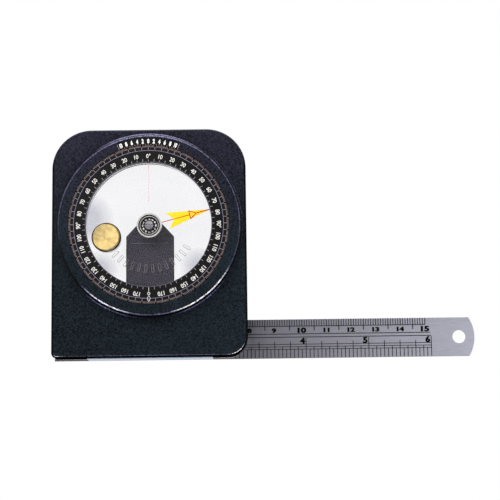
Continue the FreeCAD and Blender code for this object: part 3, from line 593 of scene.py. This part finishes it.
class Marks:
    """Thin flat marks on a face that looks along -Y, gathered in one mesh.

    The outlines of words are kept, so that each is made once."""

    letters = {}

    def __init__(self, face):
        self.grid = bmesh.new()
        self.face = face

    def prism(self, outline):
        """Outline is a list of (x, z) corners, and the mark stands on the face."""
        front = self.face - PRINT
        back = front + PRINT
        near = [self.grid.verts.new((x, front, z)) for x, z in outline]
        far = [self.grid.verts.new((x, back, z)) for x, z in outline]
        self.grid.faces.new(near)
        self.grid.faces.new(far[::-1])
        count = len(outline)
        for index in range(count):
            after = (index + 1) % count
            self.grid.faces.new([near[after], near[index], far[index], far[after]])

    def bar(self, low_x, low_z, high_x, high_z):
        self.prism([(low_x, low_z), (high_x, low_z), (high_x, high_z), (low_x, high_z)])

    def ray(self, angle, inner, outer, width):
        """A radial mark of the dial, with its angle clockwise from the top."""
        across = Vector((math.cos(angle), -math.sin(angle))) * width / 2
        along = Vector((math.sin(angle), math.cos(angle)))
        middle = Vector((DIAL.x, DIAL.z))
        low = middle + along * inner
        high = middle + along * outer
        corners = (low - across, low + across, high + across, high - across)
        self.prism([tuple(corner) for corner in corners])

    def ring(self, radius, width, count=360):
        """A thin circle line."""
        for index in range(count):
            turns = [2 * math.pi * (index + step) / count for step in (0, 1)]
            outline = []
            for turn, reach in ((turns[0], radius - width / 2), (turns[1], radius - width / 2),
                                (turns[1], radius + width / 2), (turns[0], radius + width / 2)):
                outline.append((DIAL.x + reach * math.sin(turn), DIAL.z + reach * math.cos(turn)))
            self.prism(outline)

    def loop(self, corners, width):
        """A closed outline drawn as a line of even width."""
        spots = [Vector(corner) for corner in corners]
        count = len(spots)
        inner, outer = [], []
        for index, spot in enumerate(spots):
            before = (spot - spots[index - 1]).normalized()
            after = (spots[(index + 1) % count] - spot).normalized()
            off = Vector((before.y + after.y, -before.x - after.x)).normalized()
            off *= width / 2 / max(0.3, off.dot(Vector((before.y, -before.x))))
            inner.append(tuple(spot - off))
            outer.append(tuple(spot + off))
        for index in range(count):
            after = (index + 1) % count
            self.prism([inner[index], inner[after], outer[after], outer[index]])

    def outline_of(self, text, bold):
        """The mesh of a piece of text in a unit of its own height, with its middle at zero."""
        key = (text, bold)
        if key not in Marks.letters:
            curve = bpy.data.curves.new("letters", "FONT")
            curve.body = text
            curve.align_x = "CENTER"
            curve.offset = bold
            curve.resolution_u = 3
            holder = bpy.data.objects.new("letters", curve)
            scene.collection.objects.link(holder)
            bpy.context.view_layer.update()
            mesh = bpy.data.meshes.new_from_object(holder)
            points = [vertex.co.copy() for vertex in mesh.vertices]
            faces = [tuple(polygon.vertices) for polygon in mesh.polygons]
            bpy.data.objects.remove(holder)
            bpy.data.meshes.remove(mesh)
            low_x = min(point.x for point in points)
            high_x = max(point.x for point in points)
            Marks.letters[key] = (points, faces, (low_x + high_x) / 2)
        return Marks.letters[key]

    def text(self, words, x, z, height, angle=0.0, bold=0.012, squeeze=1.0):
        """Words with their middle at a place, upright for an angle of zero."""
        points, faces, middle = self.outline_of(words, bold)
        digit_points = self.outline_of("0", bold)[0]
        low = min(point.y for point in digit_points)
        high = max(point.y for point in digit_points)
        scale = height / (high - low)
        cosine, sine = math.cos(angle), math.sin(angle)
        front = self.face - PRINT
        near, far = [], []
        for point in points:
            u = (point.x - middle) * scale * squeeze
            v = (point.y - (low + high) / 2) * scale
            spot = (x + u * cosine + v * sine, z - u * sine + v * cosine)
            near.append(self.grid.verts.new((spot[0], front, spot[1])))
            far.append(self.grid.verts.new((spot[0], front + PRINT, spot[1])))
        sides = {}
        for face in faces:
            self.grid.faces.new([near[index] for index in face])
            self.grid.faces.new([far[index] for index in reversed(face)])
            for first, second in zip(face, face[1:] + face[:1]):
                if (second, first) in sides:
                    del sides[(second, first)]
                else:
                    sides[(first, second)] = True
        for first, second in sides:
            self.grid.faces.new([near[second], near[first], far[first], far[second]])

    def around(self, words, angle, radius, height, drop=0.0, **looks):
        """Words on the dial whose tops point outward, about a centre that lies lower by the drop."""
        self.text(words, DIAL.x + radius * math.sin(angle), DIAL.z - drop + radius * math.cos(angle),
                  height, angle=angle, **looks)

    def done(self, name, material, body, slot):
        bmesh.ops.recalc_face_normals(self.grid, faces=self.grid.faces)
        mesh = bpy.data.meshes.new(name)
        self.grid.to_mesh(mesh)
        self.grid.free()
        return new_piece(name, mesh, material, body, slot)


# The dial's prints, as radii from its centre
LINE_RADIUS = 29.85 * MM
BAND_INNER = 31.25 * MM
BAND_OUTER = 31.95 * MM
NUMBER_RADIUS = 28.0 * MM
NUMBER_HEIGHT = 1.75 * MM
NUMBER_DROP = 0.45 * MM
FOOT_RING = 0.48 * MM

fine_marks = Marks(DIAL_FACE)
for step in range(360):
    if step % 5:
        fine_marks.ray(radians(step), BAND_INNER, BAND_OUTER, 0.2 * MM)
fine_marks.ring(BAND_INNER, 0.08 * MM)
fine_marks.done("dial_degree_marks", BROWN_INK, "dial", "dial_plastic")

scale_marks = Marks(DIAL_FACE)
for step in range(0, 360, 5):
    scale_marks.ray(radians(step), LINE_RADIUS, BAND_OUTER if step % 10 == 0 else BAND_INNER, 0.16 * MM)
    if step != 180:
        scale_marks.ray(radians(step), WINDOW_RADIUS + WINDOW_EDGE,
                        WINDOW_RADIUS + (1.1 if step % 10 == 0 else 1.4) * MM, 0.18 * MM)
scale_marks.done("dial_scale_marks", GREY_INK, "dial", "dial_plastic")

line_marks = Marks(DIAL_FACE)
line_marks.ring(LINE_RADIUS, 0.15 * MM)
line_marks.done("dial_line", LILAC_INK, "dial", "dial_plastic")

numbers = Marks(DIAL_FACE)
for step in range(0, 180, 10):
    words = str(step) + ("°" if step in (0, 90) else "")
    for side in (1, -1):
        if side == 1 or step:
            numbers.around(words, side * radians(step), NUMBER_RADIUS, NUMBER_HEIGHT, drop=NUMBER_DROP,
                           squeeze=0.85, bold=0.012)
numbers.done("dial_numbers", PALE_INK, "dial", "dial_plastic")

# The mark opposite zero: a line, a small ring and a hollow diamond
foot_mark = Marks(DIAL_FACE)
foot_mark.ray(math.pi, WINDOW_RADIUS + 0.5 * MM, 27.4 * MM, 0.16 * MM)
foot_mark.loop([(DIAL.x + FOOT_RING * math.sin(radians(turn)),
                 DIAL.z - NUMBER_RADIUS + FOOT_RING * math.cos(radians(turn)))
                for turn in range(0, 360, 15)], 0.2 * MM)
foot_mark.loop([(DIAL.x + across * MM, DIAL.z - reach * MM)
                for across, reach in ((0.0, 28.8), (0.65, 29.85), (0.0, 31.3), (-0.65, 29.85))],
               0.16 * MM)
foot_mark.done("dial_foot_mark", PALE_INK, "dial", "dial_plastic")

# The vernier's prints: its divisions stand 1.9 degrees apart
VERNIER_STEP = 1.9
VERNIER_END = 21.2
TICK_RADII = (32.17 * MM, 32.5 * MM)
END_RADII = (32.2 * MM, 34.8 * MM)

vernier = Marks(VERNIER_FACE)
vernier_ticks = Marks(VERNIER_FACE)
vernier_ends = Marks(VERNIER_FACE)
for index in range(-10, 11):
    angle = radians(index * VERNIER_STEP)
    vernier_ticks.ray(angle, *TICK_RADII, 0.25 * MM)
    if index % 2 == 0:
        vernier.around(str(abs(index)), angle, 33.65 * MM, 1.9 * MM,
                       squeeze=0.55 if abs(index) == 10 else 0.68, bold=0.05)
for side in (-1, 1):
    vernier_ends.ray(side * radians(VERNIER_END), *END_RADII, 0.16 * MM)
vernier.done("vernier_numbers", WHITE_INK, "case", "dial_plastic")
vernier_ticks.done("vernier_ticks", BROWN_INK, "case", "dial_plastic")
vernier_ends.done("vernier_ends", GREY_INK, "case", "dial_plastic")


def raise_ribs(piece, count, first, last, radius, length, width, height, edge):
    """Joins to the lens a row of low ribs with round ends and rounded edges, between two angles."""
    grid = bmesh.new()
    around, rows, sunk = 24, 4, 0.3 * MM
    for index in range(count):
        angle = first + (last - first) * index / (count - 1)
        along = Vector((math.sin(angle), 0, math.cos(angle)))
        across = Vector((math.cos(angle), 0, -math.sin(angle)))
        centre = Vector((DIAL.x, LENS_FACE, DIAL.z)) + along * radius
        levels = [(0.0, sunk)] + [(edge * (1 - math.cos(lift)), edge - height - edge * math.sin(lift))
                                      for lift in [math.pi / 2 * row / rows for row in range(rows + 1)]]
        rings = []
        for inset, depth in levels:
            ring = []
            for step in range(around):
                turn = 2 * math.pi * (step + 0.5) / around
                reach = (length - width) / 2 * (1 if math.sin(turn) > 0 else -1)
                half = width / 2 - inset
                spot = centre + across * half * math.cos(turn) + along * (half * math.sin(turn) + reach)
                ring.append(grid.verts.new(spot + Vector((0, depth, 0))))
            rings.append(ring)
        for low, high in zip(rings, rings[1:]):
            for step in range(around):
                after = (step + 1) % around
                grid.faces.new([low[step], low[after], high[after], high[step]])
        grid.faces.new(rings[-1])
        grid.faces.new(rings[0][::-1])
    bmesh.ops.recalc_face_normals(grid, faces=grid.faces)
    for face in grid.faces:
        face.smooth = True
    mesh = bpy.data.meshes.new("ribs")
    grid.to_mesh(mesh)
    grid.free()
    ribs = bpy.data.objects.new("ribs", mesh)
    scene.collection.objects.link(ribs)
    join = piece.modifiers.new("ribs", "BOOLEAN")
    join.operation = "UNION"
    join.solver = "EXACT"
    join.object = ribs
    settle(piece)
    bpy.data.objects.remove(ribs)
    # The ribs' sides take the painted reflection of their edges
    recolour(piece, (RIB_SHEEN,), lambda spot, normal: int(spot.y < LENS_FACE - 0.001 * MM
                                                          and abs(normal.y) < 0.99))


raise_ribs(lens, count=14, first=radians(122), last=radians(237), radius=17.8 * MM, length=3.4 * MM,
           width=1.0 * MM, height=0.2 * MM, edge=0.15 * MM)

# The index line on the lens
hairline = Marks(LENS_FACE)
hairline.ray(0.0, 9.0 * MM, WINDOW_RADIUS - 0.4 * MM, 0.32 * MM)
hairline.done("lens_hairline", PINK_INK, "dial", "clear_plastic")

# The arrow's red lines
ARROW_ANGLE = radians(75.2)
SHAFT_START = 5.1
HEAD_BACK, HEAD_TIP, HEAD_HALF = 16.8, 19.5, 1.7
HEAD_LINE = 0.36
arrow_marks = Marks(ARROW_FACE)
arrow_marks.ray(ARROW_ANGLE, SHAFT_START * MM, HEAD_BACK * MM, 0.32 * MM)
arrow_marks.ray(ARROW_ANGLE, HEAD_TIP * MM, WINDOW_RADIUS + WINDOW_EDGE, HEAD_LINE * MM)


def arrow_spot(along, across):
    """A place on the arrow, from its distance along and across the pointer."""
    return (DIAL.x + along * MM * math.sin(ARROW_ANGLE) + across * MM * math.cos(ARROW_ANGLE),
            DIAL.z + along * MM * math.cos(ARROW_ANGLE) - across * MM * math.sin(ARROW_ANGLE))


def arrow_line(start, end, width):
    way = Vector((end[0] - start[0], end[1] - start[1])).normalized()
    off = Vector((-way.y, way.x)) * width / 2
    corners = [(start[0] + off.x, start[1] + off.y), (start[0] - off.x, start[1] - off.y),
               (end[0] - off.x, end[1] - off.y), (end[0] + off.x, end[1] + off.y)]
    arrow_marks.prism([arrow_spot(*corner) for corner in corners])


head = ((HEAD_BACK, -HEAD_HALF), (HEAD_BACK, HEAD_HALF), (HEAD_TIP, 0))
for start, end in zip(head, head[1:] + head[:1]):
    arrow_line(start, end, HEAD_LINE)
arrow_marks.done("arrow_marks", RED_INK, "pendulum", "arrow_yellow")

# The rule's marks, from its top edge down
rule_marks = Marks(RULE_FACE)
ZERO = rule_low.x
TOP = rule_high.z
INCH = 25.4
LINE_START = 0.5
FINE_TICK, LONG_TICK = 0.34, 0.42
CM_ROW, INCH_ROW = 4.5, 8.8


def rule_bar(x, upper, lower, width):
    rule_marks.bar(ZERO + (x - width / 2) * MM, TOP - lower * MM, ZERO + (x + width / 2) * MM,
                   TOP - upper * MM)


def rule_line(end, depth, width):
    rule_marks.bar(ZERO + LINE_START * MM, TOP - (depth + width / 2) * MM, ZERO + end * MM,
                   TOP - (depth - width / 2) * MM)


# Millimetres, the lines between the rows, and sixteenths of an inch
for step in range(1, 151):
    rule_bar(step, 0.1, {0: 2.8, 5: 4.6}.get(step % 10, 2.7), LONG_TICK if step % 5 == 0 else FINE_TICK)
for depth, end in ((2.8, 150.0), (5.96, 152.0), (7.25, 6 * INCH)):
    rule_line(end, depth, 0.36)
for depth in (10.15, 11.15, 12.15):
    rule_line(6 * INCH, depth, 0.3)
for step in range(1, 97):
    for share, upper in ((16, 7.6), (4, 9.0), (2, 11.15), (1, 12.15)):
        if step % share == 0:
            rule_bar(step * INCH / 16, upper, 15.6, FINE_TICK)
            break
# The figures, each drawn twice a little apart so that it is bold
for step in range(1, 16):
    place = step * 10 - (0 if step > 9 else 1.3)
    height = 2.3 if step in (10, 15) else 1.95
    for shift in (-0.1, 0.1):
        rule_marks.text(str(step), ZERO + (place + shift) * MM, TOP - CM_ROW * MM, height * MM,
                        bold=0.05, squeeze=1.4)
for step in range(1, 7):
    place = step * INCH - 1.4
    for shift in (-0.08, 0.08):
        rule_marks.text(str(step), ZERO + (place + shift) * MM, TOP - INCH_ROW * MM, 2.6 * MM,
                        bold=0.05, squeeze=1.15)
rule_marks.done("rule_marks", BLACK_INK, "rule", "rule_steel")


# Camera

FOCAL_PIXELS = 1397.18
IMAGE_PIXELS = 500
SENSOR = 36.0
CAMERA_SPOT = Vector((34.647, -559.538, -40.171)) * MM
PITCH, YAW, ROLL = radians(8.5251), radians(0.5858), radians(-0.8154)
ahead = Vector((math.sin(YAW) * math.cos(PITCH), math.cos(YAW) * math.cos(PITCH), math.sin(PITCH)))
level = Vector((math.cos(YAW), -math.sin(YAW), 0))
upward = level.cross(ahead)
right = math.cos(ROLL) * level + math.sin(ROLL) * upward
top = -math.sin(ROLL) * level + math.cos(ROLL) * upward
camera_data = bpy.data.cameras.new("photo_camera")
camera_data.sensor_width = SENSOR
camera_data.lens = FOCAL_PIXELS / IMAGE_PIXELS * SENSOR
camera_data.clip_start = 0.01
camera_data.clip_end = 20.0
camera = bpy.data.objects.new("photo_camera", camera_data)
scene.collection.objects.link(camera)
turn = Matrix((right, top, -ahead)).transposed()
camera.matrix_world = Matrix.Translation(CAMERA_SPOT) @ turn.to_4x4()
scene.camera = camera


# Floor, world and lamps

FADE_START, FADE_END = 0.3, 0.85


def make_floor(half, below):
    """A pale floor. Seen from below it is open, so that the view from under it shows the base."""
    material, tree, shader, add = new_material("floor_pale")
    place = add("TexCoord").outputs["Object"]
    speckled(tree, shader, add, place, (0.84, 0.84, 0.85), spread=0.01, scale=40.0, rough=0.8,
             rough_spread=0.03, bump=0.02, depth=0.0001)
    path = add("LightPath")
    white = add("Emission", {"Color": (1, 1, 1, 1), "Strength": 1.0})
    open_way = add("BsdfTransparent")
    behind = add("NewGeometry").outputs["Backfacing"]
    seen_in = add("Math", {0: path.outputs["Is Glossy Ray"], 1: path.outputs["Is Transmission Ray"]},
                  operation="MAXIMUM")
    upper = add("MixShader", {0: seen_in.outputs["Value"], 1: shader.outputs["BSDF"],
                              2: white.outputs["Emission"]})
    # Far from the object the floor fades into the white of the world
    away = add("VectorMath", {0: place}, operation="LENGTH")
    fade = add("MapRange", {"Value": away.outputs["Value"], "From Min": FADE_START,
                            "From Max": FADE_END})
    fading = add("MixShader", {0: fade.outputs["Result"], 1: upper.outputs["Shader"],
                               2: open_way.outputs["BSDF"]})
    sided = add("MixShader", {0: behind, 1: fading.outputs["Shader"], 2: open_way.outputs["BSDF"]})
    tree.links.new(sided.outputs["Shader"], tree.nodes["Material Output"].inputs["Surface"])
    mesh = bpy.data.meshes.new("floor")
    corners = [(x * half, y * half, -below) for x, y in ((-1, -1), (1, -1), (1, 1), (-1, 1))]
    mesh.from_pydata(corners, [], [(0, 1, 2, 3)])
    mesh.materials.append(material)
    floor = bpy.data.objects.new("floor", mesh)
    scene.collection.objects.link(floor)


def make_world(level, front):
    """A white studio, whose light on the object has its own level."""
    world = bpy.data.worlds.new("studio")
    scene.world = world
    world.use_nodes = True
    world.node_tree.nodes.clear()
    add = adder(world.node_tree)
    path = add("LightPath")
    seen = add("Math", {0: path.outputs["Is Camera Ray"], 1: path.outputs["Is Glossy Ray"]},
               operation="MAXIMUM")
    also = add("Math", {0: seen.outputs["Value"], 1: path.outputs["Is Transmission Ray"]},
               operation="MAXIMUM")
    # A mirror that faces the front sees the dimmer half of the studio
    parts = add("SeparateXYZ", {"Vector": add("TexCoord").outputs["Generated"]})
    dim = add("MapRange", {"Value": parts.outputs["Y"], "From Min": -0.9, "From Max": -0.35,
                           "To Min": front, "To Max": 1.0})
    mirrored = add("Mix", {"Factor": path.outputs["Is Glossy Ray"], "A": 1.0,
                           "B": dim.outputs["Result"]})
    strength = add("MapRange", {"Value": also.outputs["Value"], "To Min": level,
                                "To Max": mirrored.outputs["Result"]})
    light = add("Background", {"Color": (1, 1, 1, 1), "Strength": strength.outputs["Result"]})
    add("OutputWorld", {"Surface": light.outputs["Background"]})


def make_lamp(name, spot, size, power):
    data = bpy.data.lights.new(name, "AREA")
    data.shape = "SQUARE"
    data.size = size
    data.energy = power
    lamp = bpy.data.objects.new(name, data)
    scene.collection.objects.link(lamp)
    lamp.location = spot
    lamp.visible_transmission = False
    aim = DIAL - Vector(spot)
    lamp.rotation_euler = aim.to_track_quat("-Z", "Y").to_euler()


make_floor(half=0.9, below=0.3 * MM)
make_world(level=0.5, front=0.6)
make_lamp("key_light", (-0.5, -0.9, 0.9), size=0.8, power=14.0)
make_lamp("fill_light", (0.9, -0.7, 0.5), size=0.9, power=6.0)
make_lamp("top_light", (0.05, 0.28, 1.0), size=0.7, power=9.0)

scene.view_settings.view_transform = "Standard"
